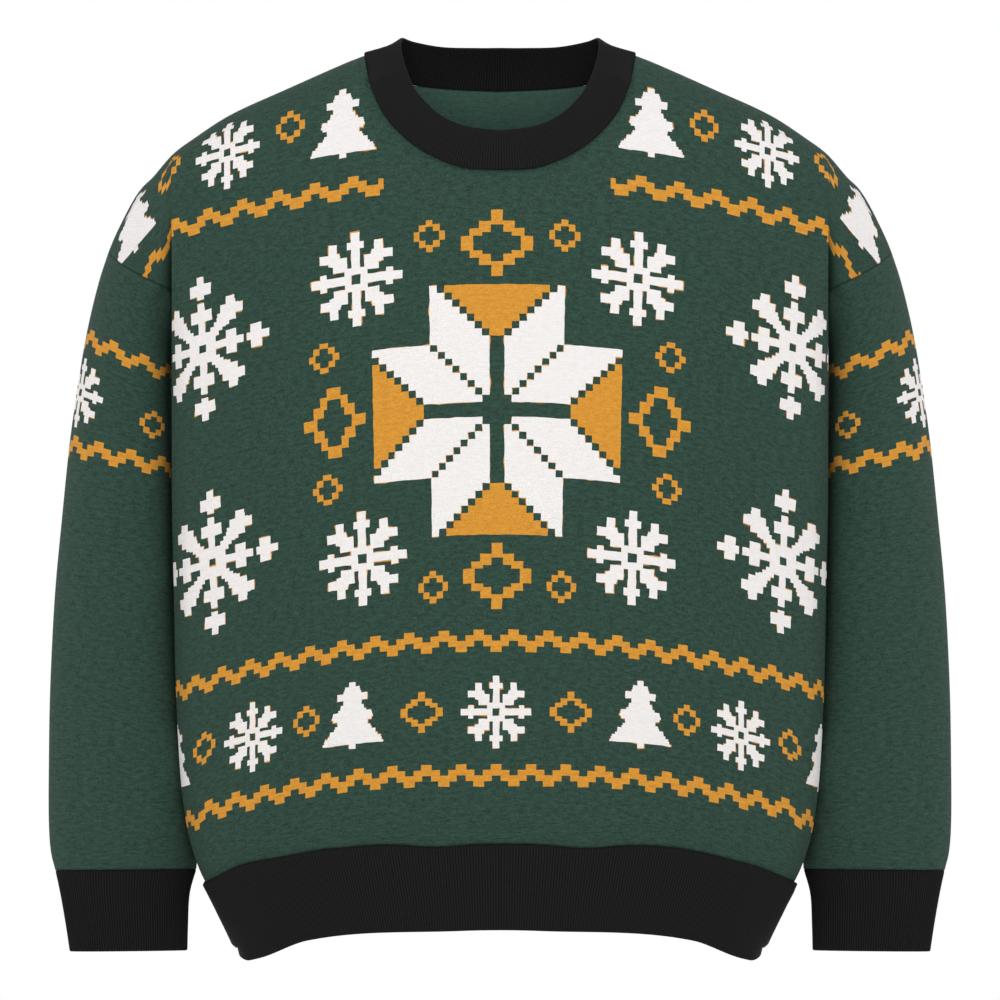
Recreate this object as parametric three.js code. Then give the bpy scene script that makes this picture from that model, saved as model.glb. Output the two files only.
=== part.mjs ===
import * as THREE from 'three';

// A knitted crew-neck sweater, filled out as if worn, with its arms hanging.
// Millimetres. +Z is up and the front faces -Y. The origin lies on the middle line, level with
// the two neck points where the shoulder seams meet the collar.

const clothThickness = 2;
const ribThickness = 3;
const seamGap = 0.3;
const mergeWithin = 0.001;

// In a notch that folds more sharply than this, each wall keeps to its own side of the fold.
const sharpFold = 0.75;
const leastCosine = 0.6;

// Every knitted course sags towards the sides: its drop is this times x squared.
// A course's level is its height on the middle line.
const courseArch = 0.000658;
const chestHalfWidth = 249;
const hemSeamLevel = -598;
const underarmLevel = -198;
const creaseFootLevel = -136.5;
const creaseTopLevel = -75;

const table = (columns, rows) => rows.map(
  (row) => Object.fromEntries(columns.map((name, i) => [name, row[i]])));

// Sections of the body: half width, the y of its front, widest line and back, and how square
// the back's corners are.
const bodySections = table(
  ['level', 'halfWidth', 'frontY', 'wideY', 'backY', 'backPower'], [
    [-662, 194.6, -72, -3, 78, 2.2],
    [-640, 204.5, -79, -4, 82, 2.2],
    [-598, 223.5, -88, -6, 88, 2.2],
    [-581, 230, -93, -8, 91, 2.2],
    [-554, 237, -98, -10, 94, 2.2],
    [-515, 242, -103, -12, 95, 2.2],
    [-442, 246, -106, -16, 96, 2.2],
    [-369, 247.5, -108, -19, 96, 2.25],
    [-296, 249, -107, -23, 97, 2.4],
    [-240, 249, -105, -28, 98, 2.6],
    [-198, 249, -101, -32, 98, 2.8],
    [-136.5, 249, -94, -36, 95, 3],
    [-87, 249, -84, -36, 90, 3],
    [-26, 249, -72, -36, 75, 3],
    [20, 249, -62, -36, 66, 3],
  ]);
const frontPower = 2.3;

// The outline over the shoulder and down the arm, seen from the front, and along it the ridge's
// y and how far below it the cloth has turned to face forwards.
const shoulderLine = table(
  ['x', 'z', 'ridgeY', 'reach'], [
    [0, 38, 8, 260],
    [60, 17, 8, 260],
    [103, 0.8, 8, 260],
    [117, -4.6, 9, 245],
    [162, -24.5, 11.5, 195],
    [205.5, -44.4, 15, 148],
    [234.6, -63.3, 18.5, 116],
    [249, -74.3, 20, 100],
    [263.7, -91.2, 22, 88],
    [276, -104.5, 23.5, 78],
    [290.3, -131.2, 26, 66],
    [297.8, -148.8, 27, 60],
    [304.8, -170, 28, 56],
    [313, -204, 29, 52],
  ]);
const armReach = 45;

// What the chest and back would reach at the sides, and the upper arm beside them, with no crease.
const openShape = {
  front: { edgeY: -47, armY: -36, power: 2.6 },
  back: { edgeY: 82, armY: 87, power: 3 },
};
const armBlendWidth = 22;

// The crease between body and arm: where its foot lies, and how wide its arm side is.
const creaseFoot = { front: { y: -24, fade: 9 }, back: { x: 230, fade: 16 } };

const frontNeckSeam = table(['x', 'z'], [
  [0, -87], [25.6, -85.7], [47.4, -78.3], [67.5, -66.6], [84, -50.4], [92.8, -36.5],
  [99.8, -17.3], [103, 0.8],
]);
const backNeckSeam = table(['x', 'z'], [
  [0, -26], [34, -24.7], [66, -21.4], [85, -16], [96, -8], [103, 0.8],
]);

// The armhole seam across the front and the back of the arm, from the crease to the outline.
const armholeSeam = {
  front: table(['x', 'z'], [
    [249, -177.4], [264.6, -170.2], [275, -165], [287, -157.6], [297.8, -148.8],
  ]),
  back: table(['x', 'z'], [
    [230, -171.3], [248, -172], [264, -167.5], [282, -159], [297.8, -148.8],
  ]),
};
const sideSeamShare = 0.44;

// Columns of faces from the middle line to the side, and rows from the crease's foot to the top.
const columnX = [0, 30, 56, 78, 93, 103, 128, 155, 182, 208, 230, 243, 249];
const lowerLevels = [-598, -581, -554, -515, -442, -369, -296, -240, -198,
  -185, -172, -160, -148, -136.5];
const upperRows = [0, 0.14, 0.28, 0.41, 0.52, 0.615, 0.71, 0.8, 0.88, 0.95, 1];
const creaseTopRow = 5;
const sideColumns = 3;
const capColumns = [0, 0.28, 0.55, 0.8, 1];
const capEndX = [249, 265, 279, 289, 295.3, 297.8, 292, 283, 273, 262, 249];

// Rings of the sleeve: its outer and inner points seen from the front, its middle and half depth
// from front to back, how far its front and back bow up towards the neck, and how far its points
// have settled from the armhole's spacing to an even one.
const sleeveRings = table(
  ['outerX', 'outerZ', 'innerX', 'innerZ', 'middleY', 'halfDepth', 'bowX', 'bowZ', 'settled'], [
    [305, -171, 248, -240, 29, 58, 8, 14, 0],
    [313, -204, 247.5, -262, 29, 60, 4, 12, 0.35],
    [320, -243, 247, -290, 29, 60, 2, 9, 0.7],
    [327, -292, 246.5, -328, 29, 59, 0, 6, 1],
    [333, -350, 246, -377, 29, 57, 0, 4, 1],
    [338.5, -410, 244.5, -430, 28, 54, 0, 2, 1],
    [342, -480, 241, -494, 27, 50, 0, 1, 1],
    [343, -540, 236, -549, 25, 46, 0, 0, 1],
    [343, -580, 232, -586, 23, 42, 0, 0, 1],
    [341.5, -603, 230.2, -605, 22, 37, 0, 0, 1],
    [338, -618, 230.7, -617, 22, 32, 0, 0, 1],
  ]);
const cuffRings = table(
  ['outerX', 'outerZ', 'innerX', 'innerZ', 'middleY', 'halfDepth', 'bowX', 'bowZ', 'settled'], [
    [338, -618, 230.7, -617, 22, 32, 0, 0, 1],
    [334, -637, 235.8, -636, 21, 31, 0, 0, 1],
    [330, -660, 237, -659, 20, 29.5, 0, 0, 1],
    [327, -680, 237.5, -679, 20, 28, 0, 0, 1],
  ]);
const backCreaseTurn = 0.625;
const ringSides = 20;
const hemLevels = [-662, -640, -619, -598];

// The collar's fold edge, from the front's middle over the side to the back's middle.
const collarEdge = table(['x', 'y', 'z'], [
  [0, -57, -57.8], [25.6, -54.5, -54.3], [43.1, -49, -46.9], [55.3, -41, -36.5],
  [64.9, -30, -24.2], [71.4, -14, -8.5], [74.5, 3, 8], [72.7, 17, 14.6], [63, 31, 12.4],
  [43, 41, 7.6], [17, 45.5, 6.5], [0, 46, 6.5],
]);
const collarRows = [0, 0.33, 0.67, 1];
const collarBulge = 2.5;
const neckMiddleY = -6;

const clamp = THREE.MathUtils.clamp;
const lerp = THREE.MathUtils.lerp;

// A smooth curve through one column of a table, read at a value of another.
function smooth(rows, by, column, at) {
  const last = rows.length - 1;
  const rising = rows[last][by] > rows[0][by];
  const ordered = rising ? rows : [...rows].reverse();
  const value = clamp(at, ordered[0][by], ordered[last][by]);
  let i = 0;
  while (i < last - 1 && value > ordered[i + 1][by]) i += 1;
  const slopeAt = (k) => {
    const before = ordered[Math.max(k - 1, 0)];
    const after = ordered[Math.min(k + 1, last)];
    return (after[column] - before[column]) / (after[by] - before[by]);
  };
  const from = ordered[i];
  const to = ordered[i + 1];
  const span = to[by] - from[by];
  const t = (value - from[by]) / span;
  const curve = (1 + 2 * t) * (1 - t) ** 2 * from[column] + t * t * (3 - 2 * t) * to[column];
  return curve + span * t * (1 - t) * ((1 - t) * slopeAt(i) - t * slopeAt(i + 1));
}

const bodyAt = (level) => Object.fromEntries(
  Object.keys(bodySections[0]).map((column) => [column, smooth(bodySections, 'level', column, level)]));

const arc = (share, power) => (1 - clamp(share, 0, 1) ** power) ** (1 / power);
const courseHeight = (x, level) => level - courseArch * x * x;
const levelOf = (x, z) => z + courseArch * x * x;

// 0 below the crease's foot, where body and arm are apart, and 1 above its top.
function openness(level) {
  const t = clamp((level - creaseFootLevel) / (creaseTopLevel - creaseFootLevel), 0, 1);
  return t * t * (3 - 2 * t);
}

// Draws a point's y back to the ridge, as the cloth turns over the shoulder and round the arm.
function towardsRidge(x, z, y) {
  const ridge = smooth(shoulderLine, 'x', 'ridgeY', x);
  const reach = smooth(shoulderLine, 'x', 'reach', x);
  const below = (smooth(shoulderLine, 'x', 'z', x) - z) / reach;
  const within = (smooth(shoulderLine, 'z', 'x', z) - x) / armReach;
  if (below <= 0 || within <= 0) return ridge;
  const depth = Math.min((below ** -4 + within ** -4) ** -0.25, 1);
  return ridge + (y - ridge) * Math.sqrt(1 - (1 - depth) ** 2);
}

function openY(face, x, level) {
  const { edgeY, armY, power } = openShape[face];
  const middleY = bodyAt(level)[`${face}Y`];
  const chest = middleY + (edgeY - middleY) * Math.min(x / chestHalfWidth, 1) ** power;
  const t = clamp((x - chestHalfWidth) / armBlendWidth, 0, 1);
  return lerp(chest, armY, t * t * (3 - 2 * t));
}

function closedY(face, x, level) {
  const body = bodyAt(level);
  const power = face === 'front' ? frontPower : body.backPower;
  return lerp(body.wideY, body[`${face}Y`], arc(x / body.halfWidth, power));
}

// A point of the front or the back between the middle line and the crease or the widest line.
function bodyPoint(face, x, level) {
  const z = courseHeight(x, level);
  const y = lerp(closedY(face, x, level), openY(face, x, level), openness(level));
  return new THREE.Vector3(x, towardsRidge(x, z, y), z);
}

// A point behind the widest line, on the body's side.
function sidePoint(level, y) {
  const body = bodyAt(level);
  const share = (y - body.wideY) / (body.backY - body.wideY);
  const x = body.halfWidth * arc(share, body.backPower);
  const z = courseHeight(x, level);
  return new THREE.Vector3(x, towardsRidge(x, z, y), z);
}

// Where the front ends: the side seam, and above the underarm the armhole seam in the armpit.
function frontEndY(level) {
  const under = bodyAt(Math.min(level, underarmLevel));
  const seamY = lerp(under.wideY, under.backY, sideSeamShare);
  if (level <= underarmLevel) return seamY;
  const t = (level - underarmLevel) / (creaseFootLevel - underarmLevel);
  return seamY + (creaseFoot.front.y - seamY) * Math.sin(t * Math.PI / 2);
}

const frontEnd = (level) => sidePoint(level, frontEndY(level));

// Where the back ends: the same side seam, then the armhole seam behind the arm.
function backEnd(level) {
  if (level <= underarmLevel) return frontEnd(level);
  const t = (level - underarmLevel) / (creaseFootLevel - underarmLevel);
  const x = lerp(frontEnd(underarmLevel).x, creaseFoot.back.x, t);
  return bodyPoint('back', x, level);
}

const neckSeam = { front: frontNeckSeam, back: backNeckSeam };
const neckX = columnX.filter((x) => x <= frontNeckSeam.at(-1).x);

function topZ(face, x) {
  const atNeck = x <= neckX.at(-1);
  return smooth(atNeck ? neckSeam[face] : shoulderLine, 'x', 'z', x);
}

// The rows from the hem seam up to the crease's foot.
function lowerRow(face, level) {
  if (face === 'back') {
    const end = backEnd(level);
    const row = columnX.map((x) => bodyPoint('back', x * end.x / chestHalfWidth, level));
    row[row.length - 1] = end;
    return row;
  }
  const body = bodyAt(level);
  const row = columnX.map((x) => bodyPoint('front', x * body.halfWidth / chestHalfWidth, level));
  for (let k = 1; k <= sideColumns; k += 1) {
    row.push(sidePoint(level, lerp(body.wideY, frontEndY(level), k / sideColumns)));
  }
  return row;
}

// The rows from the crease's foot up to the shoulder seam and the neck seam.
function upperRow(face, i) {
  const share = upperRows[i];
  const footX = face === 'front' ? chestHalfWidth : creaseFoot.back.x;
  const edgeX = lerp(footX, chestHalfWidth, share);
  return columnX.map((column) => {
    const x = column * edgeX / chestHalfWidth;
    const z = lerp(courseHeight(x, creaseFootLevel), topZ(face, x), share);
    return bodyPoint(face, x, levelOf(x, z));
  });
}

// The crease's bottom line, which runs into the edge of the body at the crease's top.
function creaseBottom(face, i) {
  const edge = upperRow(face, i).at(-1);
  if (face === 'back') return edge;
  const foot = frontEnd(creaseFootLevel);
  const depth = 1 - openness(levelOf(edge.x, edge.z));
  return new THREE.Vector3(
    lerp(edge.x, foot.x, depth), lerp(edge.y, foot.y, depth), lerp(edge.z, foot.z, i === 0 ? 1 : 0));
}

function capEnd(face, i) {
  if (i === 0) return creaseBottom(face, 0);
  const seam = armholeSeam[face];
  const start = seam[0].x;
  const share = (capEndX[i] - capEndX[0]) / (capEndX[creaseTopRow] - capEndX[0]);
  const x = i < creaseTopRow ? lerp(start, capEndX[creaseTopRow], share) : capEndX[i];
  const z = i < creaseTopRow ? smooth(seam, 'x', 'z', x) : smooth(shoulderLine, 'x', 'z', x);
  return new THREE.Vector3(x, 0, z);
}

// A row of the shoulder cap, from the crease to the armhole seam or the shoulder seam.
function capRow(face, i) {
  const start = creaseBottom(face, i);
  const end = capEnd(face, i);
  const surfaceY = (x, z) => towardsRidge(x, z, openY(face, x, levelOf(x, z)));
  const dip = i < creaseTopRow ? start.y - surfaceY(start.x, start.z) : 0;
  return capColumns.map((share) => {
    const x = lerp(start.x, end.x, share);
    const z = lerp(start.z, end.z, share);
    const fade = Math.exp((start.x - x) / creaseFoot[face].fade);
    return share === 0 ? start : new THREE.Vector3(x, surfaceY(x, z) + dip * fade, z);
  });
}

const rowNumbers = upperRows.map((share, i) => i);

// Half of a panel, as grids of points whose rows rise and whose columns run outwards.
function halfPanel(face) {
  const grids = [
    lowerLevels.map((level) => lowerRow(face, level)),
    rowNumbers.map((i) => upperRow(face, i)),
    rowNumbers.map((i) => capRow(face, i)),
  ];
  if (face === 'front') {
    grids.push(rowNumbers.slice(0, creaseTopRow + 1).map((i) => {
      const edge = upperRow('front', i).at(-1);
      if (i === creaseTopRow) return Array(sideColumns + 1).fill(edge);
      if (i === 0) return lowerRow('front', creaseFootLevel).slice(-sideColumns - 1);
      const bottom = creaseBottom('front', i);
      return Array.from({ length: sideColumns + 1 }, (_, k) => edge.clone().lerp(bottom, k / sideColumns));
    }));
  }
  return grids;
}

// The armhole as one loop: from the shoulder seam's end down the front, under the arm and back.
function armholeLoop() {
  const seamEnds = (face) => rowNumbers.slice(0, creaseTopRow + 1).map((i) => capRow(face, i).at(-1));
  const hidden = lowerLevels.filter((level) => level >= underarmLevel && level < creaseFootLevel);
  const front = [...seamEnds('front').reverse(), ...hidden.slice().reverse().map(frontEnd)];
  const back = [...hidden.slice(1).map(backEnd), ...seamEnds('back').slice(0, -1)];
  return [...front, ...back];
}

// Turns round a ring, from its outer point over its front. The crease behind the arm lies nearer
// to the underarm than the one in front does.
function ringTurn(k, settled) {
  const even = k / ringSides;
  if (even <= 0.5) return even;
  const atCrease = even <= 0.75
    ? lerp(0.5, backCreaseTurn, (even - 0.5) / 0.25)
    : lerp(backCreaseTurn, 1, (even - 0.75) / 0.25);
  return lerp(atCrease, even, settled);
}

function tubeRing(ring) {
  const outer = new THREE.Vector2(ring.outerX, ring.outerZ);
  const inner = new THREE.Vector2(ring.innerX, ring.innerZ);
  const middle = outer.clone().add(inner).multiplyScalar(0.5);
  const reach = outer.clone().sub(middle);
  return Array.from({ length: ringSides }, (_, k) => {
    const angle = 2 * Math.PI * ringTurn(k, ring.settled);
    const bow = Math.sin(angle) ** 2;
    return new THREE.Vector3(
      middle.x + reach.x * Math.cos(angle) - ring.bowX * bow,
      ring.middleY - ring.halfDepth * Math.sin(angle),
      middle.y + reach.y * Math.cos(angle) + ring.bowZ * bow);
  });
}

const closeRing = (ring) => [...ring, ring[0]];

// From the front's middle over one side to the back's middle, matching both panels' points.
function hemHalfRing(level) {
  return [...lowerRow('front', level), ...lowerRow('back', level).slice(0, -1).reverse()];
}

function collarHalf() {
  const seam = [
    ...neckX.map((x) => bodyPoint('front', x, levelOf(x, topZ('front', x)))),
    ...neckX.slice(0, -1).reverse().map((x) => bodyPoint('back', x, levelOf(x, topZ('back', x)))),
  ];
  const edge = new THREE.CatmullRomCurve3(
    collarEdge.map(({ x, y, z }) => new THREE.Vector3(x, y, z)), false, 'catmullrom', 0.5);
  const lengths = [0];
  for (let i = 1; i < seam.length; i += 1) lengths.push(lengths[i - 1] + seam[i].distanceTo(seam[i - 1]));
  return collarRows.map((share) => seam.map((point, i) => {
    const onEdge = edge.getPointAt(lengths[i] / lengths.at(-1));
    const outwards = new THREE.Vector3(point.x, point.y - neckMiddleY, 0).normalize();
    const bulge = collarBulge * 4 * share * (1 - share);
    return point.clone().lerp(onEdge, share).addScaledVector(outwards, bulge);
  }));
}

// A surface of triangles whose shared points are merged.
class Surface {
  points = [];

  faces = [];

  #found = new Map();

  pointIndex(point) {
    const key = surfaceKey(point);
    if (!this.#found.has(key)) {
      this.#found.set(key, this.points.length);
      this.points.push(point.clone());
    }
    return this.#found.get(key);
  }

  // side is +1 or -1, and turned says that the rows and columns run the other way round.
  addGrid(rows, side, turned = false) {
    const index = rows.map((row) => row.map(
      (point) => this.pointIndex(new THREE.Vector3(side * point.x, point.y, point.z))));
    for (let i = 0; i + 1 < index.length; i += 1) {
      for (let j = 0; j + 1 < index[i].length; j += 1) {
        const corners = [index[i][j], index[i][j + 1], index[i + 1][j + 1], index[i + 1][j]];
        this.addFace([corners[0], corners[1], corners[2]], (side < 0) !== turned);
        this.addFace([corners[0], corners[2], corners[3]], (side < 0) !== turned);
      }
    }
  }

  addFace(face, flipped) {
    if (new Set(face).size === 3) this.faces.push(flipped ? face.reverse() : face);
  }
}

function surfaceKey(point) {
  const step = 10 * mergeWithin;
  return [point.x, point.y, point.z].map((value) => Math.round(value / step)).join();
}

function faceNormal([a, b, c], points) {
  return new THREE.Triangle(points[a], points[b], points[c]).getNormal(new THREE.Vector3());
}

// Normals at the points of some surfaces, shared where these meet at a seam. A wall's inner point
// lies further off by the stretch, so that the wall keeps its thickness round a corner.
function vertexNormals(surfaces) {
  const found = new Map();
  for (const { points, faces } of surfaces) {
    for (const face of faces) {
      const area = new THREE.Triangle(...face.map((i) => points[i])).getArea();
      const turned = faceNormal(face, points);
      for (const i of face) {
        const key = surfaceKey(points[i]);
        if (!found.has(key)) {
          found.set(key, { normal: new THREE.Vector3(), around: new THREE.Vector3(), faces: [] });
        }
        const entry = found.get(key);
        entry.normal.addScaledVector(turned, area);
        face.forEach((other) => entry.around.add(points[other]).sub(points[i]));
        entry.faces.push(turned);
      }
    }
  }
  for (const entry of found.values()) {
    entry.normal.normalize();
    entry.cosine = Math.min(...entry.faces.map((turned) => turned.dot(entry.normal)));
    entry.stretch = 1 / Math.max(entry.cosine, leastCosine);
    entry.isNotch = entry.cosine < sharpFold && entry.around.dot(entry.normal) > 0;
  }
  return found;
}

// Edges that only one face has, each with its face.
function borderEdges(faces) {
  const edges = new Map();
  for (const face of faces) {
    face.forEach((from, k) => {
      const to = face[(k + 1) % 3];
      if (!edges.delete(`${to},${from}`)) edges.set(`${from},${to}`, { from, to, far: face[(k + 2) % 3] });
    });
  }
  return [...edges.values()];
}

// A closed wall: the surface, the same surface moved in by the thickness, and a rim round each
// opening. Its borders are drawn back by half a seam gap.
function wall(surface, thickness, normals, ownNormals) {
  const { points, faces } = surface;
  const borders = borderEdges(faces);
  const drawn = points.map(() => new THREE.Vector3());
  for (const { from, to, far } of borders) {
    const along = points[to].clone().sub(points[from]).normalize();
    const inwards = points[far].clone().sub(points[from]);
    inwards.addScaledVector(along, -inwards.dot(along)).normalize();
    drawn[from].add(inwards);
    drawn[to].add(inwards);
  }
  const outer = points.map((point, i) => point.clone().add(drawn[i].setLength(
    drawn[i].length() > 0 ? seamGap / 2 : 0)));
  const inner = outer.map((point, i) => {
    const key = surfaceKey(points[i]);
    const shared = normals.get(key);
    const { normal, stretch } = shared.isNotch ? ownNormals.get(key) : shared;
    return point.clone().addScaledVector(normal, -thickness * stretch);
  });
  const count = points.length;
  const index = [];
  for (const [a, b, c] of faces) index.push(a, b, c, count + a, count + c, count + b);
  for (const { from, to } of borders) {
    const rim = points[from].z < points[to].z
      ? [to, from, count + from, to, count + from, count + to]
      : [to, from, count + to, from, count + from, count + to];
    index.push(...rim);
  }
  const geometry = new THREE.BufferGeometry();
  const positions = [...outer, ...inner].flatMap((point) => point.toArray());
  geometry.setAttribute('position', new THREE.Float32BufferAttribute(positions, 3));
  geometry.setIndex(index);
  geometry.computeVertexNormals();
  return geometry;
}

function panel(face) {
  const surface = new Surface();
  for (const side of [1, -1]) {
    for (const grid of halfPanel(face)) surface.addGrid(grid, side, face === 'back');
  }
  return surface;
}

function tube(rings, side) {
  const surface = new Surface();
  surface.addGrid(rings.map(closeRing), side);
  return surface;
}

function halves(rows) {
  const surface = new Surface();
  for (const side of [1, -1]) surface.addGrid(rows, side);
  return surface;
}

const sleeveSurface = [armholeLoop(), ...sleeveRings.map(tubeRing)];
const cuffSurface = cuffRings.map(tubeRing);

const knit = { color: 0x33493f, roughness: 0.92, metalness: 0 };
const rib = { color: 0x1c1c1c, roughness: 0.94, metalness: 0 };

const piece = (name, limb, surface, thickness, finish) => ({ name, limb, surface, thickness, finish });
const pieces = [
  piece('front_panel', 'body', panel('front'), clothThickness, knit),
  piece('back_panel', 'body', panel('back'), clothThickness, knit),
  piece('sleeve_left', 'arm', tube(sleeveSurface, 1), clothThickness, knit),
  piece('sleeve_right', 'arm', tube(sleeveSurface, -1), clothThickness, knit),
  piece('neck_rib', 'body', halves(collarHalf()), ribThickness, rib),
  piece('cuff_left', 'arm', tube(cuffSurface, 1), ribThickness, rib),
  piece('cuff_right', 'arm', tube(cuffSurface, -1), ribThickness, rib),
  piece('hem_rib', 'body', halves(hemLevels.map(hemHalfRing)), ribThickness, rib),
];

const surfacesOf = (limb) => pieces.filter((other) => other.limb === limb).map(({ surface }) => surface);
const normals = vertexNormals(pieces.map(({ surface }) => surface));
const ownNormals = { body: vertexNormals(surfacesOf('body')), arm: vertexNormals(surfacesOf('arm')) };
const sweater = new THREE.Group();
for (const { name, limb, surface, thickness, finish } of pieces) {
  const geometry = wall(surface, thickness, normals, ownNormals[limb]);
  const mesh = new THREE.Mesh(geometry, new THREE.MeshStandardMaterial(finish));
  mesh.name = name;
  sweater.add(mesh);
}

export default sweater;
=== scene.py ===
import bpy
import math
from bisect import bisect_left
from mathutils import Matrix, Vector


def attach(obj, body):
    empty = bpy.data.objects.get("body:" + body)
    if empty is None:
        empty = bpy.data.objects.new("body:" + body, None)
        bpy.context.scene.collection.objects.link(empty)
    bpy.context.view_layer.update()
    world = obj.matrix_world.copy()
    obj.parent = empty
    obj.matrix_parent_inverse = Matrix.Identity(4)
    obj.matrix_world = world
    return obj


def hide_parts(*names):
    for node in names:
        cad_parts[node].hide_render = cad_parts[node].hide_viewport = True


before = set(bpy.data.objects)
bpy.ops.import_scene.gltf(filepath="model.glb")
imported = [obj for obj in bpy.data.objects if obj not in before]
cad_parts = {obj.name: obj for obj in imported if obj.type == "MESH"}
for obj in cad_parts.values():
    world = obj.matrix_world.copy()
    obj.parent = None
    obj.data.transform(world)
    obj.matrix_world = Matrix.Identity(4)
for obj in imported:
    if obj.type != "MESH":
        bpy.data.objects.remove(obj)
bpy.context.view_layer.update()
print("frame loaded")

# The cut below is in millimetres, as a pattern maker has it. Meshes are made in metres.
mm = 0.001


def table(columns, rows):
    return [dict(zip(columns, row)) for row in rows]


def lerp(a, b, t):
    return a + (b - a) * t


def clamp(value, low, high):
    return min(max(value, low), high)


def smoothStep(t):
    t = clamp(t, 0, 1)
    return t * t * (3 - 2 * t)


# a smooth curve through one column of a table, read at a value of another
def curveThrough(rows, by, column):
    pairs = sorted((row[by], row[column]) for row in rows)
    at = [pair[0] for pair in pairs]
    values = [pair[1] for pair in pairs]
    last = len(at) - 1
    around = [(max(k - 1, 0), min(k + 1, last)) for k in range(last + 1)]
    slopes = [(values[b] - values[a]) / (at[b] - at[a]) for a, b in around]

    def read(value):
        value = clamp(value, at[0], at[-1])
        i = clamp(bisect_left(at, value) - 1, 0, last - 1)
        span = at[i + 1] - at[i]
        t = (value - at[i]) / span
        curve = (1 + 2 * t) * (1 - t) ** 2 * values[i] + t * t * (3 - 2 * t) * values[i + 1]
        return curve + span * t * (1 - t) * ((1 - t) * slopes[i] - t * slopes[i + 1])

    return read


# camera: straight on to the front, far off, as a product photo is taken
camera = {
    "distance": 25.0,
    "outlineY": 0.02,  # the outline lies on this plane, and is framed to the photo's scale there
    "height": -0.3367,
    "viewWidth": 0.76,
    "sensor": 36.0,
}


def makeCamera():
    lens = bpy.data.cameras.new("camera")
    lens.type = "PERSP"
    lens.sensor_width = camera["sensor"]
    lens.lens = camera["sensor"] * (camera["distance"] + camera["outlineY"]) / camera["viewWidth"]
    lens.clip_end = 80
    holder = bpy.data.objects.new("camera", lens)
    holder.location = (0, -camera["distance"], camera["height"])
    holder.rotation_euler = (math.radians(90), 0, 0)
    bpy.context.scene.collection.objects.link(holder)
    bpy.context.scene.camera = holder


makeCamera()
print("camera set")

# the body: every course of knitting sags towards the sides by this much times x squared, and a
# course's level is its height on the middle line
courseArch = 0.000658
hemShape = {
    "lift": 9, "liftFrom": 30, "liftOver": 110, "sideFrom": 188, "sideOver": 38, "sideShare": 0.6,
    "above": -480, "fold": -662, "foldShare": 0.65, "foldSideFrom": 145,
    "puckerReach": 30,
    "puckers": ((0.8, 17, 0.6), (0.7, 29, 2.1), (0.4, 9.5, 4)),
    "cornerX": 188, "corner": 7, "cornerLevel": -648,
}
chest = {
    "halfWidth": 249,
    "hemSeam": -598,
    "hemTuck": 2,  # the panels' edge is tucked this far into the hem rib
    "underarm": -198,
    "creaseFoot": -136.5,
    "creaseTop": -75,
    "frontPower": 2.3,
    "armReach": 45,
    "armBlend": 22,
    "sideSeamShare": 0.44,
    "neckPointX": 103,
}
bodySections = table(
    ("level", "halfWidth", "frontY", "wideY", "backY", "backPower"), [
        (-662, 194.6, -72, -3, 78, 2.2),
        (-640, 204.5, -79, -4, 82, 2.2),
        (-598, 223.5, -88, -6, 88, 2.2),
        (-581, 230, -93, -8, 91, 2.2),
        (-554, 237, -98, -10, 94, 2.2),
        (-515, 242, -103, -12, 95, 2.2),
        (-442, 246, -106, -16, 96, 2.2),
        (-369, 247.5, -108, -19, 96, 2.25),
        (-296, 249, -107, -23, 97, 2.4),
        (-240, 249, -105, -28, 98, 2.6),
        (-198, 249, -101, -32, 98, 2.8),
        (-136.5, 249, -94, -36, 95, 3),
        (-87, 249, -84, -36, 90, 3),
        (-26, 249, -72, -36, 75, 3),
        (20, 249, -62, -36, 66, 3),
    ])
bodyCurve = {name: curveThrough(bodySections, "level", name) for name in bodySections[0] if name != "level"}

# the outline over the shoulder and down the arm, with the ridge's y and how far below it the
# cloth has turned to face forwards
shoulderLine = table(
    ("x", "z", "ridgeY", "reach"), [
        (0, 38, 8, 260), (60, 17, 8, 260), (103, 0.8, 8, 260), (117, -4.6, 9, 245),
        (162, -24.5, 11.5, 195), (205.5, -44.4, 15, 148), (234.6, -63.3, 18.5, 116),
        (249, -74.3, 20, 100), (263.7, -91.2, 22, 88), (276, -104.5, 23.5, 78),
        (290.3, -131.2, 26, 66), (297.8, -148.8, 27, 60), (304.8, -170, 28, 56), (313, -204, 29, 52),
    ])
shoulder = {name: curveThrough(shoulderLine, "x", name) for name in ("z", "ridgeY", "reach")}
shoulderX = curveThrough(shoulderLine, "z", "x")

openShape = {
    "front": {"edgeY": -47, "armY": -36, "power": 2.6},
    "back": {"edgeY": 82, "armY": 87, "power": 3},
}
creaseFoot = {"front": {"x": 249, "y": -24, "fade": 9}, "back": {"x": 230, "y": 0, "fade": 16}}

neckSeam = {
    "front": curveThrough(table(("x", "z"), [
        (0, -87), (25.6, -85.7), (47.4, -78.3), (67.5, -66.6), (84, -50.4), (92.8, -36.5),
        (99.8, -17.3), (103, 0.8)]), "x", "z"),
    "back": curveThrough(table(("x", "z"), [
        (0, -26), (34, -24.7), (66, -21.4), (85, -16), (96, -8), (103, 0.8)]), "x", "z"),
}
armholeSeam = {
    "front": curveThrough(table(("x", "z"), [
        (249, -177.4), (264.6, -170.2), (275, -165), (287, -157.6), (297.8, -148.8)]), "x", "z"),
    "back": curveThrough(table(("x", "z"), [
        (230, -171.3), (248, -172), (264, -167.5), (282, -159), (297.8, -148.8)]), "x", "z"),
}

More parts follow.
